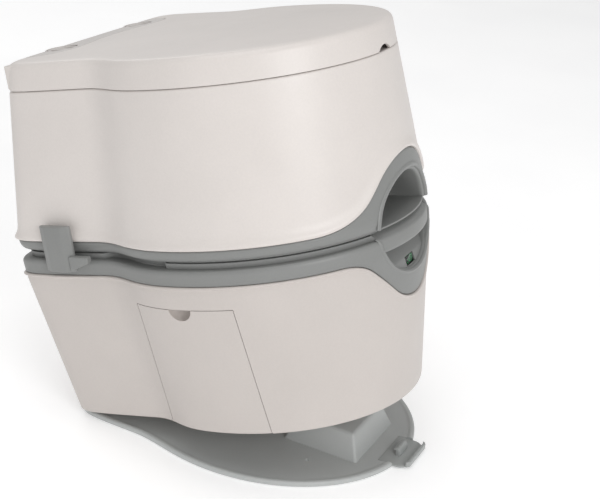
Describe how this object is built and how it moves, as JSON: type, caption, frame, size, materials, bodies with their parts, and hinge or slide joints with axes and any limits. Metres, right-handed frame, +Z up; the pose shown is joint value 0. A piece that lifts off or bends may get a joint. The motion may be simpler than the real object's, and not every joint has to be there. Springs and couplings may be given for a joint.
{
  "type": "portable camp toilet",
  "caption": "Portable camp toilet tipped back on its floor plate: flush tank with seat and lid latched onto a waste tank with a pull-out valve, pour spout and paper compartment.",
  "frame": {"origin": "on the underside of the floor plate, below the centre of the toilet's oval body when it is docked", "axes": "+Z up, -Y towards the toilet's front, +X to the right seen from the front of the toilet looking back"},
  "size_m": [0.388, 0.5034, 0.5329],
  "materials": {
    "shell_plastic": "warm white moulded polyethylene, satin with a soft gloss",
    "bowl_plastic": "glossy white moulded polypropylene",
    "deck_plastic": "fine-grained warm grey-white moulded plastic",
    "trim_plastic": "mid grey moulded plastic with a fine satin grain",
    "plate_plastic": "light grey moulded plastic, satin",
    "rubber": "matt black rubber",
    "steel_pins": "ground stainless steel",
    "indicator_green": "signal green moulded plastic",
    "window_clear": "clear acrylic",
    "paper": "soft embossed tissue paper"
  },
  "bodies": {
    "plate": {"floor_plate": "plate_plastic"},
    "lever": {"release_lever": "plate_plastic"},
    "tank": {"waste_tank": "shell_plastic", "lower_trim": "trim_plastic", "paper_niche": "shell_plastic", "door_pin": "steel_pins", "roll_spindle": "trim_plastic", "valve_base": "shell_plastic", "valve_cover": "shell_plastic", "blade_seal": "rubber", "pour_spout": "trim_plastic", "vent_collar": "trim_plastic", "level_window": "window_clear", "float_pin": "steel_pins", "dock_pin_left": "steel_pins", "dock_pin_right": "steel_pins"},
    "door": {"paper_door": "shell_plastic"},
    "roll": {"paper_roll": "paper"},
    "valve": {"valve_blade": "trim_plastic", "blade_handle": "trim_plastic"},
    "float": {"float_lever": "trim_plastic", "level_flag": "indicator_green"},
    "spout_cap": {"spout_cap": "trim_plastic", "spout_seal": "rubber"},
    "vent": {"vent_button": "indicator_green"},
    "flush": {"flush_tank_shell": "shell_plastic", "upper_trim": "trim_plastic", "flush_tank_floor": "shell_plastic", "bowl": "bowl_plastic", "bowl_gasket": "rubber", "rear_deck": "deck_plastic", "filler_neck": "shell_plastic", "pump_barrel": "shell_plastic", "hinge_pin_left": "steel_pins", "hinge_pin_right": "steel_pins", "latch_pin_left": "steel_pins", "latch_pin_right": "steel_pins"},
    "seat": {"seat": "shell_plastic", "seat_bumper_front_left": "rubber", "seat_bumper_front_right": "rubber", "seat_bumper_rear_left": "rubber", "seat_bumper_rear_right": "rubber"},
    "lid": {"lid": "shell_plastic", "lid_bumper_left": "rubber", "lid_bumper_right": "rubber"},
    "fill_cap": {"fill_cap": "deck_plastic", "fill_gasket": "rubber"},
    "pump": {"pump_knob": "deck_plastic", "pump_rod": "trim_plastic"},
    "latch_left": {"latch_left": "trim_plastic"},
    "latch_right": {"latch_right": "trim_plastic"}
  },
  "joints": [
    {"name": "tilt", "type": "hinge", "parent": "plate", "child": "tank", "pos_m": [0, 0.2, 0.0116], "axis": [1, 0, 0], "range_deg": [-8, 12.71]},
    {"name": "lever_slide", "type": "slide", "parent": "plate", "child": "lever", "axis": [0, -1, 0], "range_m": [0, 0.004], "stiffness_N_per_m": 500},
    {"name": "door_hinge", "type": "hinge", "parent": "tank", "child": "door", "pos_m": [-0.1565, -0.00637, 0.06019], "axis": [0, -0.9755, 0.22], "range_deg": [0, 35]},
    {"name": "roll_spin", "type": "hinge", "parent": "tank", "child": "roll", "pos_m": [-0.1195, 0.01466, 0.15796], "axis": [0, 0.9755, -0.22], "continuous": true},
    {"name": "valve_pull", "type": "slide", "parent": "tank", "child": "valve", "axis": [0, -0.9755, 0.22], "range_m": [0, 0.115]},
    {"name": "float_swing", "type": "hinge", "parent": "tank", "child": "float", "pos_m": [0, -0.13798, 0.25841], "axis": [1, 0, 0], "range_deg": [0, 18]},
    {"name": "spout_cap_turn", "type": "hinge", "parent": "tank", "child": "spout_cap", "pos_m": [-0.07, 0.19356, 0.20577], "axis": [-1, 0, 0], "range_deg": [0, 270]},
    {"name": "vent_press", "type": "slide", "parent": "tank", "child": "vent", "axis": [0, -0.22, -0.9755], "range_m": [0, 0.004], "stiffness_N_per_m": 400},
    {"name": "flush_tank_lift", "type": "slide", "parent": "tank", "child": "flush", "axis": [0, 0.22, 0.9755], "range_m": [0, 0.15]},
    {"name": "latch_left_swing", "type": "hinge", "parent": "flush", "child": "latch_left", "pos_m": [-0.1886, 0.21402, 0.24421], "axis": [0, -0.22, -0.9755], "range_deg": [0, 75]},
    {"name": "latch_right_swing", "type": "hinge", "parent": "flush", "child": "latch_right", "pos_m": [0.1886, 0.21402, 0.24421], "axis": [0, 0.22, 0.9755], "range_deg": [0, 75]},
    {"name": "seat_hinge", "type": "hinge", "parent": "flush", "child": "seat", "pos_m": [0, 0.28325, 0.42389], "axis": [1, 0, 0], "range_deg": [-92, 0]},
    {"name": "lid_hinge", "type": "hinge", "parent": "seat", "child": "lid", "pos_m": [0, 0.28325, 0.42389], "axis": [-1, 0, 0], "range_deg": [0, 92]},
    {"name": "pump_pull", "type": "slide", "parent": "flush", "child": "pump", "axis": [0, 0.22, 0.9755], "range_m": [0, 0.035]},
    {"name": "fill_cap_turn", "type": "hinge", "parent": "flush", "child": "fill_cap", "pos_m": [-0.078, 0.27384, 0.44805], "axis": [0, 0.22, 0.9755], "range_deg": [0, 120]}
  ]
}
